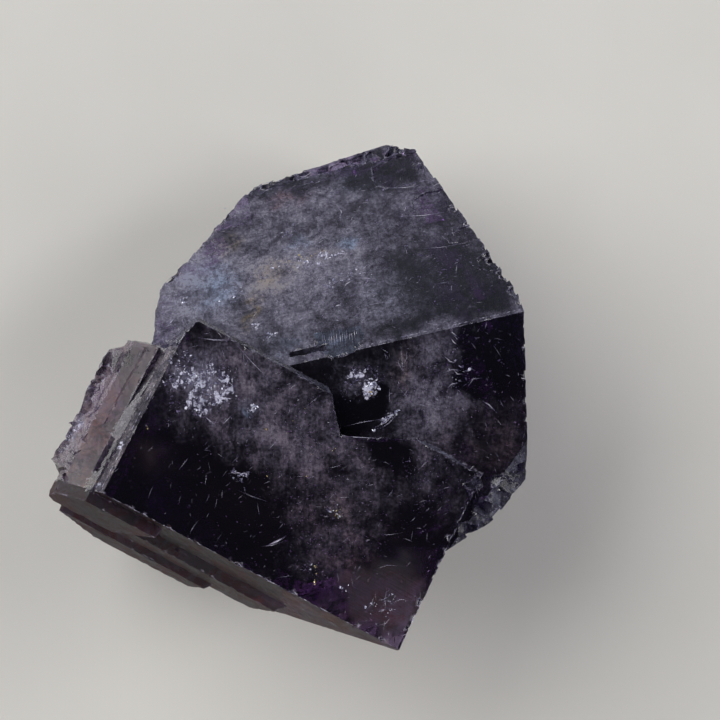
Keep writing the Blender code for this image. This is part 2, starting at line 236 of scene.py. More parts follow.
def faceKind(face):  # which of the stone's surfaces a facet belongs to, by its direction and its place (mm)
    normal, centre = face.normal, face.calc_center_median() / mm
    if normal.z > 0.9995 and centre.z > 16.9:
        return "front"
    if normal.dot(cubeNormal) > 0.998 and abs((centre - ridgeStart).dot(cubeNormal)) < 0.7:
        return "cube"
    if normal.dot(facetNormal) > 0.9996 and -1.0 < (centre - ridgeStart).dot(ridge) < 3.2:
        return "facet"
    if normal.dot(cleavageNormal) > 0.985 and abs((centre - ridgeStart).dot(cleavageNormal)) < 1.2:
        return "cleavage"
    along, above = (centre - frontCorner).dot(alongFront), (centre - frontCorner).dot(upFront)
    if centre.z > 8.0 and along < 24.0 and (above < -0.12 or (above < 0.8 and -normal.dot(upFront) > 0.3)):
        return "lowerLedge"
    if along < 0.5 and centre.z > 11.0 and normal.z > -0.3 and above < 11.5:
        return "edgeStrip" if along > -0.72 else "smoothBand" if along > -2.15 else "roughBand"
    if (centre.z > 9.0 and normal.z > -0.12) or (centre.z > 2.5 and normal.z > 0.25):
        return "flank"
    return "broken"


flatKinds = ("front", "cube", "cleavage", "facet")
reliefOf = {  # share of the full hackle height
    "edgeStrip": 0.05, "smoothBand": 0.08, "roughBand": 0.5, "lowerLedge": 0.12, "flank": 0.35, "broken": 1.0,
}


def hackle(place):  # stepped, torn relief of a cleaved mineral, about -1 to 1
    waves = noise.fractal(place / (stone["breakSize"] * mm), 0.9, 2.1, 4)
    steps = math.floor(waves * stone["breakSteps"]) / stone["breakSteps"]
    tears = noise.fractal(place / (stone["tearSize"] * mm) + up * 7.0, 1.0, 2.0, 2)
    return stone["stepShare"] * steps + stone["waveShare"] * waves + stone["tearShare"] * tears


def shapeStone():
    body = bmesh.new()
    body.from_mesh(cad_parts["fluorite_crystals"].data)
    bmesh.ops.remove_doubles(body, verts=body.verts, dist=stone["weld"] * mm)
    splitLongEdges(body, stone["meshSize"])
    splitLongEdges(body, stone["edgeMeshSize"], nearSharp=True)
    body.normal_update()
    kindLayer = body.faces.layers.int.new("kind")
    kinds = list(reliefOf) + list(flatKinds)
    for face in body.faces:
        face[kindLayer] = kinds.index(faceKind(face))
    wearLayer = body.verts.layers.float.new("wear")
    moves = {}
    for vert in body.verts:
        normals = [f.normal for f in vert.link_faces]
        touching = [kinds[f[kindLayer]] for f in vert.link_faces]
        rough = [reliefOf[k] for k in touching if k in reliefOf]
        move = Vector()
        if rough:
            height = min(rough) * stone["breakRelief"] * hackle(vert.co)
            move = vert.normal * height * mm
            for kind, normal in zip(touching, normals):
                if kind in flatKinds:
                    move -= normal * move.dot(normal)
        if any(isSharp(e) for e in vert.link_edges):
            bite = noise.fractal(vert.co / (stone["chipSize"] * mm), 0.8, 2.0, 3)
            vert[wearLayer] = min(1.0, max(0.0, stone["wearLevel"] + stone["wearSway"] * bite))
            move -= vert.normal * max(0.0, bite - stone["chipFrom"]) * stone["chipDepth"] * mm
        moves[vert] = move
    for vert, move in moves.items():
        place = vert.co + move
        place.z = max(place.z, 0.0)
        vert.co = Vector(min(max(p, low), high) for p, low, high in zip(place, cadLow, cadHigh))
    bmesh.ops.triangulate(body, faces=[f for f in body.faces if len(f.verts) > 3])
    made = addPiece("fluoriteStone", body)
    print("stone shaped:", len(made.data.polygons), "facets")
    return made, kinds


# Colour zones by surface, then soft patches: place in the face, radii, strength (millimetres)
zoneBase = {  # haze, plum, tan, blue-grey
    # On the cleavage the haze is partly the face's frosting and partly painted sheen
    "front": (0.08, 0.16, 0.0, 0.0), "cube": (0.06, 0.0, 0.0, 0.0), "cleavage": (0.40, 0.0, 0.02, 0.10),
    # On the side bands the plum is partly painted reddish light coming through; on the lower ledges it is partly a
    # painted dark reddish reflection
    "facet": (0.17, 0.0, 0.0, 0.6), "edgeStrip": (0.33, 0.16, 0.25, 0.25), "smoothBand": (0.46, 0.50, 0.18, 0.0),
    "roughBand": (0.50, 0.35, 0.10, 0.0), "lowerLedge": (0.16, 0.95, 0.0, 0.0), "flank": (0.26, 0.05, 0.02, 0.35),
    "broken": (0.36, 0.08, 0.04, 0.0),
}
zoneLimits = {  # least haze, and how much of the edge wear shows
    "cleavage": (0.06, 1.0), "flank": (0.13, 0.5), "broken": (0.14, 0.7), "edgeStrip": (0.3, 0.35),
    "smoothBand": (0.3, 0.4),
    "facet": (0.1, 0.3),
}
swirls = {"wide": (0.8, 0.9), "close": (2.4, 0.35)}  # how fine and how far the patches are stirred, in millimetres
mottling = {"fineness": 0.75, "strength": 0.55}
patchFall, crackSwirl = -1.4, 0.35
patchFace = {"lowerLedge": "front", "edgeStrip": "front", "smoothBand": "front", "roughBand": "front"}
hazeAndSheenPatches = {
    "front": [
        (3.1, 9.9, 2.8, 2.3, 0.46), (6.7, 12.3, 3.2, 1.8, 0.25), (10.8, 10.5, 4.2, 3.4, 0.28),
        (8.0, 8.6, 3.2, 2.6, 0.14), (15.5, 9.0, 4.0, 3.2, 0.15), (16.2, 6.2, 3.2, 3.0, 0.09),
        (16.8, 3.3, 2.8, 2.2, 0.14), (20.0, 12.7, 2.4, 1.8, 0.18), (4.3, 13.8, 3.4, 1.0, 0.22),
        (5.1, 2.7, 4.2, 2.7, -0.3), (9.5, 1.9, 3.6, 2.2, -0.26), (1.4, 2.3, 2.0, 2.4, -0.1),
        (14.0, 9.0, 1.2, 0.9, -0.2), (17.3, 12.0, 1.8, 1.2, -0.3), (15.8, 0.5, 1.6, 1.0, -0.2),
        (8.6, 5.6, 2.2, 1.4, -0.1), (21.8, 6.0, 2.6, 3.6, -0.16), (22.4, 1.8, 2.4, 2.2, -0.16),
    ],
    "cube": [
        (4.95, 2.3, 0.55, 1.3, 0.34), (1.8, 3.1, 1.6, 1.5, 0.25), (1.3, 4.7, 1.5, 1.4, -0.3),
        (2.9, 4.2, 1.4, 1.4, -0.26), (6.1, 4.3, 2.6, 2.4, 0.42), (7.1, 1.6, 1.7, 1.6, 0.3),
        (5.9, 6.8, 2.8, 1.4, 0.42), (9.6, 4.6, 1.6, 1.2, -0.22), (7.1, 4.5, 0.8, 0.5, -0.3),
        (9.6, 9.6, 3.4, 2.6, 0.12), (11.6, 2.4, 2.4, 3.0, -0.2),
    ],
    # The cleavage's pale patches are partly frosting and veils, partly painted sheen
    "cleavage": [
        (-0.7, 8.6, 3.4, 2.6, 0.32), (-0.6, 9.4, 2.0, 1.0, 0.25), (0.3, 5.1, 2.2, 1.4, 0.16),
        (2.9, 10.0, 2.8, 1.8, 0.06), (-0.4, 11.3, 1.2, 0.5, -0.22), (1.2, 15.2, 2.8, 1.3, 0.18),
        (5.2, 18.0, 3.0, 1.2, -0.2), (3.2, 12.0, 1.2, 0.7, -0.22), (-2.6, 4.2, 1.2, 1.0, 0.14),
        (1.2, 4.2, 2.4, 1.2, -0.14), (-1.6, 17.7, 4.6, 1.2, -0.32), (5.4, 16.2, 3.2, 1.8, -0.36),
        (7.3, 16.0, 2.6, 2.2, -0.3), (-6.8, 10.6, 3.0, 3.4, 0.22), (-8.9, 8.2, 2.6, 3.0, 0.24),
        (9.2, 5.3, 4.2, 3.6, -0.46), (11.6, 2.4, 3.6, 3.0, -0.5), (7.2, 11.2, 3.0, 2.4, -0.14),
        (1.1, 5.4, 1.8, 1.2, -0.12), (8.3, 17.4, 2.4, 1.6, -0.3), (5.0, 1.2, 4.4, 1.4, -0.3),
        (-1.4, 2.0, 3.0, 1.4, -0.14), (-3.4, 7.9, 1.8, 1.6, 0.18), (11.0, 11.0, 2.4, 3.4, -0.26),
        (5.2, 7.6, 2.2, 1.8, -0.14), (4.0, 13.0, 2.6, 1.2, -0.12),
    ],
    "lowerLedge": [(5.0, -1.6, 5.0, 0.7, 0.14), (18.0, -0.4, 7.0, 1.0, 0.16)],
    "smoothBand": [(-1.6, 1.6, 1.2, 2.4, 0.14)],
    "edgeStrip": [(-0.4, 9.0, 1.0, 4.0, 0.14)],
    "roughBand": [(-3.0, 4.0, 1.2, 2.6, 0.2)],
}
plumPatches = {
    "front": [
        (21.9, 4.4, 3.2, 3.6, 0.5), (19.6, 2.4, 4.0, 2.4, 0.4), (22.4, 2.0, 2.6, 2.6, 0.4),
        (2.2, 3.9, 2.2, 1.6, 0.45), (9.0, 4.0, 4.0, 3.0, 0.15), (15.5, 6.5, 5.0, 4.0, 0.16),
    ],
    "cube": [
        (9.6, 9.6, 3.6, 3.0, 0.55), (12.4, 5.4, 1.0, 3.0, 0.3), (5.3, 0.0, 0.6, 1.8, 0.3),
        (4.9, 2.5, 0.9, 1.6, 0.35),
    ],
    "cleavage": [(-1.1, 16.2, 1.2, 0.7, 0.55), (0.4, 15.7, 0.9, 0.7, 0.5)],
    "lowerLedge": [(19.0, -0.4, 6.0, 1.6, -0.2)],
    "smoothBand": [(-1.4, 4.0, 1.2, 3.0, 0.25)],
    "edgeStrip": [(-0.4, 2.6, 1.0, 2.0, 0.2)],
}
tanPatches = {
    "front": [(15.6, 6.5, 1.2, 0.9, 0.2)],
    "cube": [(4.95, 2.2, 0.6, 1.4, 0.3)],
    "cleavage": [
        (-2.8, 8.6, 1.5, 1.6, 0.5), (-5.4, 13.0, 0.9, 1.2, 0.6), (-4.9, 5.4, 0.4, 1.6, 0.9),
        (-4.0, 6.6, 1.4, 0.8, 0.35), (-0.2, 9.6, 2.4, 0.5, 0.4),
    ],
    "lowerLedge": [(19.0, -0.4, 5.0, 1.4, 0.22)],
    "smoothBand": [(-2.4, 0.4, 1.2, 1.2, 0.3)],
    "edgeStrip": [(-0.6, 0.6, 0.8, 1.0, 0.3)],
}
# Places where a crack meets the surface and breaks it up like foil; the material paints glints and shade into them
crackPatches = {
    "front": [
        (1.6, 9.6, 0.65, 0.9, 0.7), (0.9, 11.1, 0.9, 0.3, 0.6), (4.5, 11.3, 0.45, 0.45, 0.9),
        (5.0, 10.4, 0.35, 0.6, 0.9), (4.6, 9.5, 0.45, 0.5, 0.9), (3.3, 11.3, 0.6, 0.35, 0.6),
        (2.9, 9.9, 0.28, 1.0, 0.9), (2.8, 8.9, 0.35, 0.5, 0.9), (3.7, 8.4, 0.8, 0.5, 1.2),
        (3.9, 10.6, 0.5, 0.5, -0.5), (3.1, 10.0, 2.2, 2.0, 0.42), (7.0, 10.3, 0.46, 0.2, 1.5),
        (1.2, 5.5, 0.2, 0.2, 0.8), (4.8, 8.0, 0.5, 0.15, 0.7), (4.7, 6.7, 0.25, 0.15, 0.7),
        (8.4, 5.9, 0.6, 0.35, 0.5), (21.8, 2.2, 1.0, 1.3, 0.35), (15.7, 6.5, 0.35, 0.6, 0.3),
        (2.5, 13.3, 1.0, 0.2, 0.4),
    ],
    "cube": [
        (1.7, 2.2, 1.3, 0.6, 0.75), (2.3, 3.35, 0.55, 0.55, 1.4), (1.2, 3.4, 0.3, 0.7, 0.5),
        (2.1, 6.2, 0.35, 0.22, 0.8), (2.8, 5.8, 0.4, 0.24, 0.9), (3.5, 5.45, 0.35, 0.2, 0.8),
        (8.3, 4.3, 0.6, 0.4, 0.35), (5.0, 2.2, 0.4, 1.0, 0.35),
    ],
    "cleavage": [
        (-0.8, 9.9, 0.4, 0.2, 1.5), (1.0, 9.5, 0.6, 0.2, 1.2), (2.3, 9.2, 0.6, 0.22, 1.4),
        (0.3, 8.6, 1.6, 0.5, 0.5), (-2.2, 10.2, 0.6, 0.3, 0.4), (4.1, 6.4, 0.4, 0.5, 0.4),
        (2.6, 6.9, 1.0, 0.4, 0.25), (-5.9, 7.5, 0.5, 0.2, 0.6), (-4.4, 4.1, 0.3, 0.3, 0.8),
        (-3.2, 4.0, 0.7, 0.6, 0.3), (-1.8, 6.8, 0.6, 0.3, 0.35), (-10.6, 6.4, 0.4, 0.3, 0.6),
        (-2.0, 17.6, 0.6, 0.15, 0.6), (3.1, 13.4, 0.25, 0.5, 0.35),
    ],
    "roughBand": [(-2.9, 3.6, 0.7, 2.2, 0.5)],
    "edgeStrip": [(0.2, 0.4, 0.6, 0.7, 0.5), (0.1, 3.6, 0.3, 0.5, 0.6)],
}
coolPatches = {
    "front": [(7.0, 10.3, 0.7, 0.5, 1.2), (2.6, 10.6, 1.6, 1.4, 0.35)],
    "cube": [(12.1, 2.0, 2.0, 2.4, 0.3), (10.2, 0.8, 1.6, 1.0, 0.25)],
    "cleavage": [
        (2.9, 10.4, 1.0, 0.6, 0.8), (-6.6, 9.0, 1.4, 2.4, 0.45), (-0.4, 11.3, 1.2, 0.5, 0.5),
        (-2.8, 1.6, 1.6, 1.0, 0.45), (5.4, 16.2, 2.4, 1.4, 0.35), (-7.6, 9.0, 2.6, 3.4, 0.25),
        (-1.6, 17.7, 4.0, 0.9, 0.3), (7.0, 4.0, 4.0, 3.0, 0.2),
    ],
}


def stirred(place):
    (wideFineness, wideReach), (closeFineness, closeReach) = swirls["wide"], swirls["close"]
    return noise.noise_vector(place * wideFineness) * wideReach + noise.noise_vector(place * closeFineness) * closeReach


def paintZones(stoneObject, kinds):
    mesh = stoneObject.data
    count = len(mesh.loops)
    vertexOf = np.empty(count, int)
    mesh.loops.foreach_get("vertex_index", vertexOf)
    places = np.empty(len(mesh.vertices) * 3)
    mesh.vertices.foreach_get("co", places)
    places = places.reshape(-1, 3) / mm
    stir = np.array([stirred(Vector(p)) for p in places])
    kindOf = np.empty(len(mesh.polygons), int)
    mesh.attributes["kind"].data.foreach_get("value", kindOf)
    kindOf = np.repeat(kindOf, 3)
    wear = np.empty(len(mesh.vertices))
    mesh.attributes["wear"].data.foreach_get("value", wear)
    zones, cool, crack = np.zeros((count, 4)), np.zeros(count), np.zeros(count)
    for number, kind in enumerate(kinds):
        mine = kindOf == number
        zones[mine, :3], cool[mine] = zoneBase[kind][:3], zoneBase[kind][3]
        if kind not in largeFaces and kind not in patchFace:
            continue
        corner, first, second, _ = largeFaces[patchFace.get(kind, kind)]
        for layer, patches, swirl in ((zones[:, 0], hazeAndSheenPatches, 1.0), (zones[:, 1], plumPatches, 1.0),
                                      (zones[:, 2], tanPatches, 1.0), (cool, coolPatches, 1.0),
                                      (crack, crackPatches, crackSwirl)):
            local = (places + stir * swirl)[vertexOf[mine]] - np.array(corner)
            across, down = local @ np.array(first), local @ np.array(second)
            for a, b, wide, tall, strength in patches.get(kind, ()):
                away = ((across - a) / wide) ** 2 + ((down - b) / tall) ** 2
                layer[mine] += strength * np.exp(patchFall * away)
    mottle = [noise.fractal(Vector(p) * mottling["fineness"] + up * 30.0, 0.85, 2.0, 4) for p in places]
    zones[:, 0] *= 1.0 + mottling["strength"] * np.array(mottle)[vertexOf]
    zones[:, 3] = wear[vertexOf]
    for kind, (least, worn) in zoneLimits.items():
        mine = kindOf == kinds.index(kind)
        zones[mine, 0] = np.maximum(zones[mine, 0], least)
        zones[mine, 3] *= worn
    zones = np.clip(zones, 0.0, 1.0)
    mesh.color_attributes.new("zones", "FLOAT_COLOR", "CORNER").data.foreach_set("color", zones.ravel())
    mesh.attributes.new("cool", "FLOAT", "CORNER").data.foreach_set("value", np.clip(cool, 0.0, 1.0))
    mesh.attributes.new("crack", "FLOAT", "CORNER").data.foreach_set("value", np.clip(crack, 0.0, 1.5))
    mesh.attributes.remove(mesh.attributes["kind"])
    mesh.attributes.remove(mesh.attributes["wear"])
    print("colour zones painted")


# Purple fluorite: clear violet glass-like mineral, dark in depth, clouded by fine inclusions;
# the cleaved and worn parts are frosted with tiny pits
fluorite = {
    "ior": 1.434, "depthColour": (0.35, 0.0, 0.46, 1.0), "depthDensity": 460.0,
    # The foil tone is a painted glint and the shade tone is painted shade, both for the splintered crack cells
    "clear": "#aca4c4", "cloud": "#89878c", "plum": "#6a323c", "paintedGlintColour": "#e4e4fa", "shade": "#6a6784",
    "iron": "#a8977f", "worn": "#b4b1c4", "cool": "#8fa3c4",
    "clearRoughness": 0.07, "cloudRoughness": 0.36, "plumRoughness": 0.48,
    "clearLight": 0.994, "cloudLight": 0.25,  # share of the light that goes in
    "cloudSize": 2.2, "veilSize": 1.1, "fineSize": 0.22, "hairSize": 2.6, "speckSize": 0.42,  # millimetres, to "push"
    "ledgeLineSize": 0.24, "shardSize": 0.3, "chipSize": 0.125, "pushSize": 0.35, "push": 0.25, "hairWidth": 0.010,
    "hairHaze": 0.25, "speckHaze": 0.35, "ledgeLineHaze": 1.6, "hazeDepth": -1.15,
    "relief": 0.02, "fineRelief": 0.35, "streakRelief": 0.5, "ledgeRelief": 2.6,
}
hazeSway = {  # how each noise thins and thickens the haze: noise from, to, then factor from, to
    "clouds": (0.32, 0.68, 0.52, 1.36), "veils": (0.3, 0.7, 0.58, 1.40), "streaks": (0.3, 0.7, 0.78, 1.24),
    "fine": (0.3, 0.7, 0.62, 1.38),
}


def purpleFluorite():
    material = bpy.data.materials.new("purpleFluorite")
    material.use_nodes = True
    tree = material.node_tree
    shader = tree.nodes["Principled BSDF"]
    where = addNode(tree, "TexCoord").outputs["Object"]
    zones = addNode(tree, "Attribute", attribute_name="zones")
    parts = addNode(tree, "SeparateColor", {0: zones.outputs["Color"]})
    hazeAndSheenZone, plumZone, tanZone = parts.outputs[0], parts.outputs[1], parts.outputs[2]
    coolZone = addNode(tree, "Attribute", attribute_name="cool").outputs["Fac"]
    crackZone = addNode(tree, "Attribute", attribute_name="crack").outputs["Fac"]

    def sums(kind, a, b, clamp=False):
        return addNode(tree, "Math", {0: a, 1: b}, operation=kind, use_clamp=clamp).outputs[0]

    def times(a, b, clamp=False):
        return sums("MULTIPLY", a, b, clamp)

    def plus(a, b, clamp=False):
        return sums("ADD", a, b, clamp)

    def remap(value, low, high, toLow, toHigh):
        ranges = {"Value": value, "From Min": low, "From Max": high, "To Min": toLow, "To Max": toHigh}
        return addNode(tree, "MapRange", ranges, interpolation_type="SMOOTHSTEP").outputs[0]

    def blend(amount, a, b):
        return mixColours(tree, amount, a, b)

    def tone(name):
        return srgb(fluorite[name])

    def cloudNoise(size, detail, roughness, distortion=0.0, vector=None):
        return noiseAt(tree, vector or where, fluorite[size], detail, roughness, distortion).outputs[0]

    def cells(vector, size):
        return addNode(tree, "TexVoronoi", {"Vector": vector, "Scale": 1000 / fluorite[size]})

    # Noise at each scale, from clouds down to pits
    clouds = cloudNoise("cloudSize", 5.0, 0.66, 0.6)
    veils = cloudNoise("veilSize", 5.0, 0.72, 1.2)
    fine = cloudNoise("fineSize", 2.0, 0.7)
    brushed = addNode(tree, "Mapping", {"Vector": where, "Rotation": (0.0, 0.0, math.radians(28)),
                                        "Scale": (1.0, 0.16, 0.5)})
    streaks = cloudNoise("fineSize", 2.0, 0.65, 0.3, brushed.outputs[0])
    bend = cloudNoise("hairSize", 2.0, 0.5, 1.5)
    hair = remap(sums("ABSOLUTE", sums("SUBTRACT", bend, 0.5), 0.5), 0.0, fluorite["hairWidth"], 1.0, 0.0)
    hair = times(hair, remap(veils, 0.52, 0.66, 0.0, 1.0))
    dots = cells(where, "speckSize")
    speck = times(remap(dots.outputs["Distance"], 0.10, 0.2, 1.0, 0.0), remap(clouds, 0.5, 0.7, 0.0, 1.0))

    # Haze, with fine lines along the ledges; thick haze levels off softly; on the cleavage the haze is partly painted
    # sheen
    hazeAndSheen = hazeAndSheenZone
    for name, layer in (("clouds", clouds), ("veils", veils), ("streaks", streaks), ("fine", fine)):
        hazeAndSheen = times(hazeAndSheen, remap(layer, *hazeSway[name]))
    drawnOut = addNode(tree, "Mapping", {"Vector": where, "Rotation": (0.0, 0.0, heading), "Scale": (14.0, 1.0, 1.0)},
                       vector_type="TEXTURE")
    ledgeLines = cloudNoise("ledgeLineSize", 2.0, 0.65, 0.2, drawnOut.outputs[0])
    ledgeLines = times(ledgeLines, remap(plumZone, 0.3, 0.7, 0.0, 1.0))
    hazeAndSheen = times(hazeAndSheen, plus(times(ledgeLines, fluorite["ledgeLineHaze"]), remap(plumZone, 0.3, 0.7, 1.0, 0.2)))
    hazeAndSheen = plus(hazeAndSheen, times(hair, fluorite["hairHaze"]))
    hazeAndSheen = plus(hazeAndSheen, times(speck, fluorite["speckHaze"]))
    hazeAndSheen = sums("SUBTRACT", 1.0, sums("EXPONENT", times(hazeAndSheen, fluorite["hazeDepth"]), 0.5), True)

    # Tints over the clear stone: blue-grey, plum, iron stain and worn edges; the plum on the lower ledges is partly a
    # painted dark reddish reflection, and on the side bands partly painted reddish light coming through
    wear = times(zones.outputs["Alpha"], remap(fine, 0.35, 0.6, 0.3, 1.0), True)
    plumAmount = times(plumZone, remap(clouds, 0.35, 0.65, 0.6, 1.3), True)
    tanAmount = times(tanZone, remap(veils, 0.4, 0.62, 0.3, 1.3), True)
    coolAmount = times(coolZone, remap(veils, 0.35, 0.65, 0.6, 1.2), True)
    colour = blend(hazeAndSheen, tone("clear"), tone("cloud"))
    for amount, name in ((coolAmount, "cool"), (plumAmount, "plum"), (tanAmount, "iron"), (wear, "worn")):
        colour = blend(amount, colour, tone(name))

    # Foil where cracks break the surface up: two sizes of splintered cells over the crack's real frosting; the pale
    # cells are a painted glint and the dark ones painted shade
    drift = addNode(tree, "TexNoise", {"Vector": where, "Scale": 1000 / fluorite["pushSize"], "Detail": 1.0})
    drift = addNode(tree, "VectorMath", {0: drift.outputs[1], "Scale": fluorite["push"] * mm}, operation="SCALE")
    pushed = addNode(tree, "VectorMath", {0: where, 1: drift.outputs[0]}, operation="ADD").outputs[0]
    shards = addNode(tree, "SeparateColor", {0: cells(pushed, "shardSize").outputs["Color"]})
    chips = addNode(tree, "SeparateColor", {0: cells(pushed, "chipSize").outputs["Color"]})
    broken = times(crackZone, remap(shards.outputs[0], 0.05, 0.9, 0.3, 1.35))
    broken = remap(times(broken, remap(veils, 0.36, 0.64, 0.6, 1.3)), 0.12, 0.70, 0.0, 1.0)
    paintedGlintLevel = times(plus(times(chips.outputs[0], 0.7), times(shards.outputs[1], 0.5)), plus(broken, 0.2))
    paintedGlintLevel = remap(times(paintedGlintLevel, remap(streaks, 0.35, 0.65, 0.5, 1.3)), 0.17, 0.98, 0.0, 1.0)
    colour = blend(broken, colour, blend(paintedGlintLevel, tone("shade"), tone("paintedGlintColour")))

    # How much is frosted, and so less clear and rougher
    frosted = sums("MAXIMUM", times(wear, 0.9), times(plumAmount, 0.16))
    frosted = sums("MAXIMUM", plus(hazeAndSheen, times(coolAmount, 0.12), True), frosted)
    frosted = sums("MAXIMUM", frosted, times(broken, plus(times(paintedGlintLevel, 0.8), 0.35)), True)
    rough = remap(frosted, 0.0, 1.0, fluorite["clearRoughness"], fluorite["cloudRoughness"])
    rough = plus(rough, remap(plumZone, 0.3, 0.8, 0.0, fluorite["plumRoughness"]), True)
    relief = plus(times(fine, fluorite["fineRelief"]), times(streaks, fluorite["streakRelief"]))
    relief = plus(relief, times(ledgeLines, fluorite["ledgeRelief"]))
    bump = addNode(tree, "Bump", {"Height": relief, "Strength": 0.5, "Distance": fluorite["relief"] * mm})
    absorbed = {"Color": fluorite["depthColour"], "Density": fluorite["depthDensity"]}
    depth = addNode(tree, "VolumeAbsorption", absorbed)
    passed = remap(frosted, 0.0, 1.0, fluorite["clearLight"], fluorite["cloudLight"])
    tree.links.new(colour, shader.inputs["Base Color"])
    tree.links.new(passed, shader.inputs["Transmission Weight"])
    tree.links.new(rough, shader.inputs["Roughness"])
    tree.links.new(bump.outputs[0], shader.inputs["Normal"])
    shader.inputs["IOR"].default_value = fluorite["ior"]
    tree.links.new(depth.outputs[0], tree.nodes["Material Output"].inputs["Volume"])
    return material


def patchyMaterial(look):  # an opaque coat that changes in patches from dull to light
    material = bpy.data.materials.new(look["name"])
    material.use_nodes = True
    tree = material.node_tree
    shader = tree.nodes["Principled BSDF"]
    where = addNode(tree, "TexCoord").outputs["Object"]
    patch = noiseAt(tree, where, look["patch"], look["detail"], look["raggedness"]).outputs[0]
    tone = addNode(tree, "MapRange", {"Value": patch, "From Min": look["tones"][0], "From Max": look["tones"][1]})
    colour = mixColours(tree, tone.outputs[0], srgb(look["dull"]), srgb(look["light"]))
    low, high, torn, polished = look["roughness"]
    ranges = {"Value": patch, "From Min": low, "From Max": high, "To Min": torn, "To Max": polished}
    rough = addNode(tree, "MapRange", ranges)
    tree.links.new(colour, shader.inputs["Base Color"])
    tree.links.new(rough.outputs[0], shader.inputs["Roughness"])
    shader.inputs["Metallic"].default_value = look["metallic"]
    return material


def finishPiece(piece, material):
    piece.data.materials.clear()
    piece.data.materials.append(material)
    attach(piece, "root")
    print(piece.name, "is in place:", len(piece.data.polygons), "faces")


stoneObject, kinds = shapeStone()
paintZones(stoneObject, kinds)
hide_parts("fluorite_crystals")
finishPiece(stoneObject, purpleFluorite())
surface = BVHTree.FromPolygons([v.co / mm for v in stoneObject.data.vertices],
                               [tuple(p.vertices) for p in stoneObject.data.polygons])
faceReach, wallReach = 0.45, 2.2  # how far the stone may lie from a large face for a mark to be laid on it


def onSurface(face, across, down, depth=0.0):  # the nearest place on the stone, or nothing where the face has ended
    near, normal, _, gap = surface.find_nearest(onFace(face, across, down) / mm)
    return (near - normal * depth) * mm if gap < (wallReach if face == "wall" else faceReach) else None


def faceTurn(face, lean=(0, 0), spin=0):
    _, first, _, outward = largeFaces[face]
    square = Matrix((first, outward.cross(first), outward)).transposed()
    sense = 1 if face == "front" else -1  # the back faces count downwards, so their turns run the other way
    turn = Matrix.Rotation(math.radians(spin) * sense, 3, "Z") @ Matrix.Rotation(math.radians(lean[0]), 3, "X")
    return (square @ turn @ Matrix.Rotation(math.radians(lean[1]), 3, "Y")).to_4x4()


# Loose layers of tiny flat plates in and on the stone: face, centre, radii, turn, depths (millimetres), how many
plateShape = {
    "corners": (4, 5, 6), "narrow": (0.35, 0.9), "taper": 0.8, "thickness": 0.22, "ragged": 0.35, "raggedSize": 0.3,
    "crowding": 0.62, "smallShare": 3.0, "turnSpread": 40, "thin": (-0.45, 0.35), "thinOut": 0.25, "triesEach": 30,
}


def scatterBits(name, clouds, sizes, lean, clump, seed):
    pick = random.Random(seed)
    body = bmesh.new()
    for face, at, radii, spin, depths, count in clouds:
        cloud = bmesh.new()  # each cloud is made alone and then added, which keeps the operators fast
        made = tries = 0
        while made < count and tries < count * plateShape["triesEach"]:
            tries += 1
            around, out = pick.uniform(0, math.tau), pick.random() ** plateShape["crowding"]
            across, down = radii[0] * out * math.cos(around), radii[1] * out * math.sin(around)
            cos, sin = math.cos(math.radians(spin)), math.sin(math.radians(spin))
            spot = (at[0] + across * cos - down * sin, at[1] + across * sin + down * cos)
            place = onSurface(face, *spot, pick.uniform(*depths))
            if place is None:
                continue
            clumped = noise.fractal(place / (clump * mm), 0.8, 2.0, 3)
            if clumped < pick.uniform(*plateShape["thin"]) + plateShape["thinOut"] * out:
                continue
            size = (sizes[0] + (sizes[1] - sizes[0]) * pick.random() ** plateShape["smallShare"]) * mm
            leans = (pick.gauss(0, lean), pick.gauss(0, lean))
            turned = faceTurn(face, leans, spin + pick.gauss(0, plateShape["turnSpread"]))
            narrowed = Matrix.Diagonal((1.0, pick.uniform(*plateShape["narrow"]), 1.0, 1.0))
            plate = bmesh.ops.create_cone(
                cloud, cap_ends=True, segments=pick.choice(plateShape["corners"]), radius1=size,
                radius2=size * plateShape["taper"], depth=size * plateShape["thickness"],
                matrix=Matrix.Translation(place) @ turned @ narrowed)
            for vert in plate["verts"]:
                shift = noise.noise_vector(vert.co / (plateShape["raggedSize"] * mm))
                vert.co += shift * size * plateShape["ragged"]
            made += 1
        layer = bpy.data.meshes.new("layer")
        cloud.to_mesh(layer)
        cloud.free()
        body.from_mesh(layer)
        bpy.data.meshes.remove(layer)
    return addPiece(name, body)
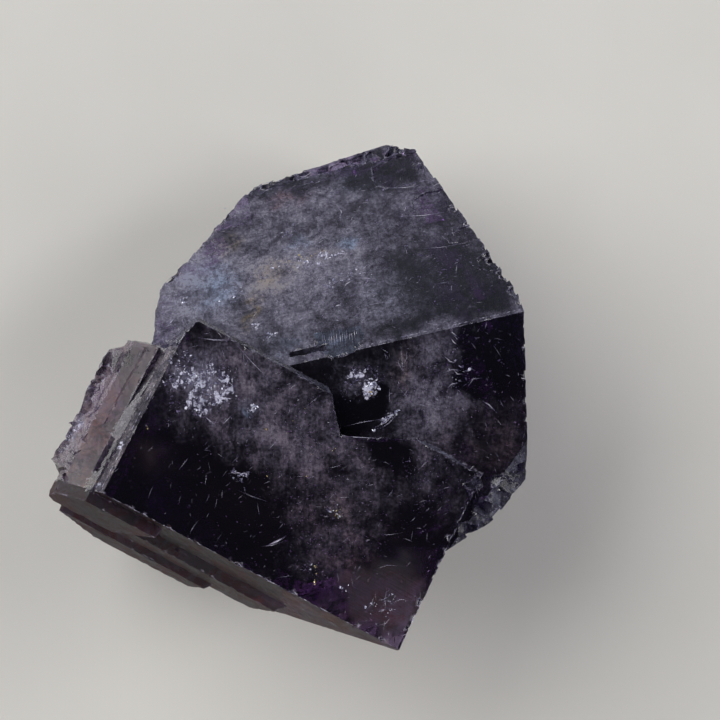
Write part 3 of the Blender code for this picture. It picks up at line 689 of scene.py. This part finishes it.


# Cracks at the surface: splintered cleavage walls with air behind them, pale as foil, a painted glint; a few are
# stained by iron
crackClouds = [
    ("front", (1.6, 10.6), (1.0, 1.5), 70, (-0.05, 0.16), 120),
    ("front", (3.5, 10.1), (1.0, 1.8), 75, (-0.05, 0.14), 190),
    ("front", (4.3, 10.9), (0.9, 1.0), 20, (-0.05, 0.2), 80),
    ("front", (3.7, 8.7), (0.9, 0.9), 40, (-0.05, 0.14), 110),
    ("front", (1.2, 9.0), (0.5, 0.9), 70, (-0.04, 0.2), 40),
    ("front", (3.0, 10.0), (3.0, 2.4), 30, (-0.03, 0.25), 150),
    ("front", (7.1, 10.3), (0.42, 0.24), 10, (-0.04, 0.0), 26),
    ("front", (8.4, 5.7), (0.7, 0.5), 20, (-0.03, 0.1), 30),
    ("front", (15.6, 6.6), (0.7, 0.6), 0, (-0.03, 0.1), 26),
    ("front", (15.8, 2.1), (0.5, 0.6), 0, (-0.03, 0.1), 14),
    ("front", (21.6, 1.9), (1.5, 1.3), 60, (-0.03, 0.1), 46),
    ("front", (18.7, 1.9), (0.5, 0.5), 0, (-0.03, 0.1), 12),
    ("cube", (2.0, 2.3), (1.5, 0.8), -8, (-0.05, 0.3), 130),
    ("cube", (2.4, 3.4), (0.6, 0.7), 0, (-0.06, 0.06), 90),
    ("cube", (3.0, 5.7), (1.3, 0.26), -24, (-0.05, 0.08), 70),
    ("cube", (8.8, 3.6), (1.0, 1.2), 30, (-0.03, 0.1), 40),
    ("cleavage", (-0.5, 9.3), (2.6, 0.5), -6, (-0.04, 0.2), 150),
    ("cleavage", (2.0, 6.6), (1.7, 0.7), 18, (-0.04, 0.25), 90),
    ("cleavage", (-3.4, 9.6), (2.0, 1.2), 0, (-0.04, 0.3), 90),
    ("cleavage", (-4.7, 4.0), (0.5, 0.4), 0, (-0.05, 0.05), 40),
    ("cleavage", (-3.9, 2.7), (0.8, 0.4), 20, (-0.05, 0.05), 50),
    ("cleavage", (-9.3, 8.3), (0.4, 0.3), 0, (-0.05, 0.05), 22),
    ("cleavage", (-5.8, 7.5), (1.4, 1.0), 0, (-0.04, 0.2), 50),
    ("cleavage", (-1.0, 12.6), (1.2, 0.8), 30, (-0.04, 0.2), 40),
]

# Air film in a closed crack: a half metallic coat whose pale tone is a painted glint, as light comes back off silver,
# with a lavender cast from the stone
paintedGlintFilm = {
    "name": "airFilmPaintedGlint", "light": "#f0f1ff", "dull": "#7c7e9c", "patch": 0.22, "detail": 5.0, "raggedness": 0.7,
    "tones": (0.42, 0.62), "roughness": (0.35, 0.65, 0.5, 0.15), "metallic": 0.4,
}
# The same film over iron stain: brassy, and glossier; the brassy tone is the stain, the pale yellow tone a painted
# glint
ironStainGlintFilm = {
    "name": "ironStainPaintedGlint", "light": "#fff0b8", "dull": "#a08a4c", "patch": 0.30, "detail": 5.0, "raggedness": 0.7,
    "tones": (0.42, 0.62), "roughness": (0.35, 0.65, 0.4, 0.12), "metallic": 0.4,
}
stainedClouds = [
    ("front", (15.75, 6.5), (0.45, 0.6), 0, (-0.04, 0.02), 16),
    ("front", (16.1, 2.2), (0.3, 0.3), 0, (-0.04, 0.02), 6),
    ("front", (16.5, 1.5), (0.2, 0.3), 0, (-0.04, 0.02), 4),
    ("front", (1.2, 5.5), (0.15, 0.2), 0, (-0.04, 0.02), 4),
    ("front", (11.4, 9.2), (4.0, 3.0), 0, (-0.04, 0.02), 9),
    ("cube", (2.35, 3.5), (0.2, 0.25), 0, (-0.08, -0.02), 9),
    ("cleavage", (0.8, 9.6), (2.4, 0.4), -6, (-0.04, 0.02), 12),
]
finishPiece(scatterBits("crackSplinters", crackClouds, (0.03, 0.15), 18, 0.6, 5), patchyMaterial(paintedGlintFilm))
finishPiece(scatterBits("stainedSplinters", stainedClouds, (0.04, 0.10), 14, 0.6, 3), patchyMaterial(ironStainGlintFilm))

# Clouds inside: thousands of tiny flat inclusions in loose layers under the faces
inclusionClouds = [
    ("front", (3.0, 9.9), (3.2, 2.6), 0, (0.02, 0.5), 300),
    ("front", (10.8, 10.0), (5.0, 3.4), 0, (0.02, 1.6), 460),
    ("front", (16.2, 5.6), (4.0, 4.2), 0, (0.02, 1.6), 660),
    ("front", (20.6, 11.6), (2.6, 2.6), 0, (0.02, 1.0), 260),
    ("front", (12.0, 7.0), (11.0, 6.4), 0, (0.02, 2.2), 620),
    ("front", (21.2, 2.2), (2.6, 2.4), 0, (0.02, 0.6), 160),
    ("cube", (6.3, 4.2), (2.6, 3.4), 0, (0.02, 1.6), 420),
    ("cube", (1.8, 2.8), (1.8, 1.3), 0, (0.02, 0.8), 160),
    ("cube", (9.5, 5.0), (3.8, 5.0), 0, (0.02, 2.0), 240),
    ("cleavage", (-1.0, 8.4), (4.2, 3.4), 0, (0.02, 1.2), 950),
    ("cleavage", (-6.5, 9.6), (4.0, 4.2), 0, (0.02, 1.0), 520),
    ("cleavage", (1.5, 5.2), (4.0, 2.4), 0, (0.02, 1.0), 420),
    ("cleavage", (4.0, 11.0), (6.0, 4.5), 0, (0.02, 1.4), 520),
    ("cleavage", (0.0, 15.5), (7.0, 2.4), 0, (0.02, 1.0), 260),
    ("cleavage", (9.0, 6.0), (4.0, 4.5), 0, (0.02, 1.6), 260),
]

# Flat fluid inclusions: pale, half glossy specks, greyer where they lie edge on
fluidInclusion = {
    "name": "fluidInclusion", "light": "#e4e2ee", "dull": "#8f8c9e", "patch": 0.7, "detail": 4.0, "raggedness": 0.7,
    "tones": (0.35, 0.65), "roughness": (0.0, 1.0, 0.55, 0.15), "metallic": 0.5,
}
finishPiece(scatterBits("inclusionFlakes", inclusionClouds, (0.025, 0.10), 24, 0.9, 7),
            patchyMaterial(fluidInclusion))

# Scratches, hair cracks and feathers, as fine strokes: face, points across and down, width (millimetres)
strokes = [
    ("front", [(5.7, 8.1), (5.85, 8.6), (6.0, 9.1)], 0.06),
    ("front", [(12.3, 2.1), (12.8, 2.7), (13.2, 3.3)], 0.2),
    ("front", [(12.0, 1.9), (12.6, 2.3), (13.2, 2.9)], 0.05),
    ("front", [(7.6, 5.3), (8.2, 5.7), (8.9, 5.9)], 0.09),
    ("front", [(8.3, 5.2), (8.5, 5.8), (9.1, 6.2)], 0.07),
    ("front", [(8.8, 4.6), (9.9, 4.7), (11.0, 4.9)], 0.04),
    ("front", [(20.9, 2.3), (21.4, 2.6), (21.9, 3.3)], 0.06),
    ("front", [(21.3, 3.6), (21.5, 2.7), (22.0, 1.9)], 0.06),
    ("front", [(21.6, 0.6), (22.3, 1.2), (22.6, 2.2)], 0.05),
    ("front", [(19.9, 4.2), (20.6, 4.9), (21.5, 5.3)], 0.05),
    ("front", [(13.54, 11.52), (14.6, 12.0), (15.86, 12.58)], 0.06),
    ("front", [(20.6, 1.2), (20.8, 1.9), (20.7, 2.9)], 0.05),
    ("front", [(21.9, 2.4), (22.5, 3.2), (23.3, 3.5)], 0.05),
    ("front", [(19.0, 6.6), (19.8, 6.9), (20.6, 7.5)], 0.04),
    ("cube", [(-0.1, 5.5), (1.2, 5.5), (2.7, 5.6)], 0.06),
    ("cube", [(2.0, 6.1), (2.9, 5.9), (3.9, 5.2)], 0.09), ("cube", [(2.3, 6.3), (3.1, 6.0), (3.7, 5.6)], 0.06),
    ("cube", [(9.0, 0.1), (8.9, 0.7), (9.3, 1.2)], 0.08),
    ("cube", [(8.7, 1.0), (8.85, 1.4), (9.1, 1.7)], 0.08),
    ("cube", [(7.9, 2.1), (8.3, 2.7), (8.7, 2.9)], 0.08), ("cube", [(8.4, 3.3), (8.6, 3.7), (9.0, 3.8)], 0.08),
    ("cube", [(7.7, 4.5), (8.1, 4.3), (8.5, 4.35)], 0.09), ("cube", [(8.7, 4.7), (9.4, 4.4)], 0.09),
    ("cube", [(9.9, 6.0), (10.3, 6.4), (10.7, 7.1)], 0.1),
    ("cube", [(7.6, 3.4), (8.3, 3.3), (8.9, 3.5)], 0.06),
    ("cube", [(5.2, 0.5), (5.1, 1.4), (4.9, 2.4), (5.3, 3.2)], 0.05),
    ("cube", [(4.7, 1.6), (4.8, 2.3), (5.1, 3.0)], 0.05), ("cube", [(5.5, 0.9), (5.4, 1.7), (5.0, 2.2)], 0.04),
    ("cube", [(9.1, 4.8), (9.6, 4.3), (10.3, 4.4)], 0.06),
    ("cleavage", [(1.1, 4.2), (1.5, 4.2), (1.9, 4.15)], 0.1),
    ("cleavage", [(2.0, 5.6), (2.4, 6.1), (3.2, 6.5)], 0.07),
    ("front", [(1.4, 12.8), (2.5, 13.2), (3.6, 13.8)], 0.1),
    ("front", [(4.3, 8.1), (4.8, 8.0), (5.3, 7.9)], 0.1),
    ("front", [(4.0, 13.7), (5.6, 13.1), (7.2, 12.6)], 0.05),
    ("cleavage", [(-6.4, 7.4), (-5.9, 7.6), (-5.4, 7.4)], 0.13),
    ("cleavage", [(-9.5, 8.0), (-9.4, 8.5), (-9.2, 8.6)], 0.13),
    ("cleavage", [(-9.05, 10.5), (-8.95, 10.9)], 0.13),
    ("cleavage", [(-10.9, 6.1), (-10.5, 6.5), (-10.2, 6.9)], 0.15),
    ("cleavage", [(-4.6, 3.8), (-4.4, 4.2), (-4.1, 4.3)], 0.16),
    ("cleavage", [(-4.95, 2.8), (-4.7, 3.1)], 0.17), ("cleavage", [(-3.6, 2.5), (-3.5, 3.1)], 0.1),
    ("cleavage", [(-2.4, 17.3), (-1.9, 17.6), (-1.3, 17.7)], 0.09),
    ("cleavage", [(2.9, 12.8), (3.2, 13.4), (3.1, 14.0)], 0.07),
    ("cleavage", [(3.3, 6.4), (3.9, 6.2), (4.4, 5.9)], 0.08),
    ("cleavage", [(-1.2, 9.9), (-0.8, 10.0), (-0.4, 9.8)], 0.1),
    ("cleavage", [(1.8, 9.1), (2.4, 9.3), (2.9, 9.0)], 0.09),
    ("cleavage", [(3.0, 3.6), (4.2, 3.5), (5.2, 3.4)], 0.04),
    ("cleavage", [(7.2, 11.6), (9.0, 11.1), (10.8, 10.9)], 0.05),
    ("cleavage", [(6.4, 14.9), (8.2, 14.4), (9.6, 14.3)], 0.06),
    ("cleavage", [(8.0, 7.9), (9.6, 7.5), (11.2, 7.4)], 0.04),
]
randomStrokes = {  # how many, ranges across and down, main headings in degrees
    "front": (230, (0.3, 24.0), (0.3, 13.9), (62, 75, 118, 20)), "cube": (110, (3.5, 13.6), (0.3, 12.5),
    (62, 80, 118, 20)),
    "cleavage": (260, (-13.0, 13.5), (0.4, 19.0), (0, 8, 62, 100)), "wall": (90, (-4.0, 23.5), (0.2, 5.0),
    (0, 2, -3)),
}
scratch = {
    "length": (0.15, 1.2), "least": 0.12, "width": (0.018, 0.055), "bend": 0.25, "stray": 14, "wallStray": 3,
    "points": (0.0, 0.35, 0.7, 1.0), "sunk": 0.25, "taper": 1.5, "seed": 19,
}
striped = {"across": (-0.2, 2.3), "down": (0.05, 2.4), "lines": 22, "width": 0.035, "uneven": (-0.6, 1.6),
           "slant": (0.1, 0.16)}
dash = {"length": (0.08, 0.5), "aside": 0.02, "width": (0.4, 1.3)}
wornEdges = [  # face, start, end, dashes, width
    ("cube", (2.6, 0.03), (13.6, 0.03), 34, 0.05), ("front", (0.0, 0.2), (0.0, 10.6), 34, 0.05),
    ("front", (0.6, 0.0), (23.8, 0.0), 60, 0.045), ("front", (24.0, 0.3), (23.9, 12.4), 34, 0.06),
    ("front", (1.0, 14.15), (10.4, 14.2), 26, 0.05), ("front", (0.1, 10.9), (0.9, 14.0), 9, 0.05),
]


def scratchMarks():
    pick = random.Random(scratch["seed"])
    marks = list(strokes)
    for face, (count, acrossRange, downRange, headings) in randomStrokes.items():
        for _ in range(count):
            a, b = pick.uniform(*acrossRange), pick.uniform(*downRange)
            stray = scratch["wallStray" if face == "wall" else "stray"]
            turn = math.radians(pick.choice(headings) + pick.gauss(0, stray))
            length = pick.uniform(*scratch["length"]) * pick.random() + scratch["least"]
            bend = pick.uniform(-scratch["bend"], scratch["bend"])
            points = [(a + length * t * math.cos(turn + bend * t), b + length * t * math.sin(turn + bend * t))
                      for t in scratch["points"]]
            marks.append((face, points, pick.uniform(*scratch["width"])))
    for line in range(striped["lines"]):
        (left, right), (low, high) = striped["across"], striped["down"]
        a = left + (right - left) * (line + pick.uniform(*striped["uneven"])) / striped["lines"]
        middle, far = (a + shift for shift in striped["slant"])
        points = [(a, low + pick.uniform(0, 1.2)), (middle, (low + high) / 2), (far, high - pick.uniform(0, 1.0))]
        marks.append(("cleavage", points, striped["width"] * pick.uniform(0.5, 1.1)))
    for face, start, end, dashes, width in wornEdges:
        start, end = Vector(start), Vector(end)
        for _ in range(dashes):
            first = pick.random()
            length = pick.uniform(*dash["length"]) / (end - start).length
            points = []
            for t in (0.0, 0.5, 1.0):
                aside = Vector((pick.uniform(-1, 1), pick.uniform(-1, 1))) * dash["aside"]
                points.append(tuple(start.lerp(end, first + length * t) + aside))
            marks.append((face, points, width * pick.uniform(*dash["width"])))
    return marks


def scratchCurves():
    drawn = bpy.data.curves.new("surfaceScratches", "CURVE")
    drawn.dimensions = "3D"
    drawn.bevel_depth, drawn.bevel_resolution, drawn.use_fill_caps = mm, 0, True
    for face, points, width in scratchMarks():
        places = [onSurface(face, a, b, width * scratch["sunk"]) for a, b in points]
        if None in places:
            continue
        spline = drawn.splines.new("POLY")
        spline.points.add(len(points) - 1)
        for number, (point, place) in enumerate(zip(spline.points, places)):
            point.co = (*place, 1.0)
            point.radius = width * 0.5 * (1.0 - abs(number / (len(points) - 1) - 0.5) * scratch["taper"])
    holder = bpy.data.objects.new("scratchCurves", drawn)
    bpy.context.scene.collection.objects.link(holder)
    mesh = bpy.data.meshes.new_from_object(holder.evaluated_get(bpy.context.evaluated_depsgraph_get()))
    bpy.data.objects.remove(holder)
    mesh.name = "surfaceScratches"
    piece = bpy.data.objects.new("surfaceScratches", mesh)
    bpy.context.scene.collection.objects.link(piece)
    return piece


# Crushed fluorite in a scratch: white to lavender powder, matt, brighter in the middle
crushedFluorite = {
    "name": "crushedFluorite", "light": "#e2e0ec", "dull": "#83809a", "patch": 0.9, "detail": 6.0, "raggedness": 0.75,
    "tones": (0.4, 0.66), "roughness": (0.0, 1.0, 0.8, 0.4), "metallic": 0.0,
}
finishPiece(scratchCurves(), patchyMaterial(crushedFluorite))
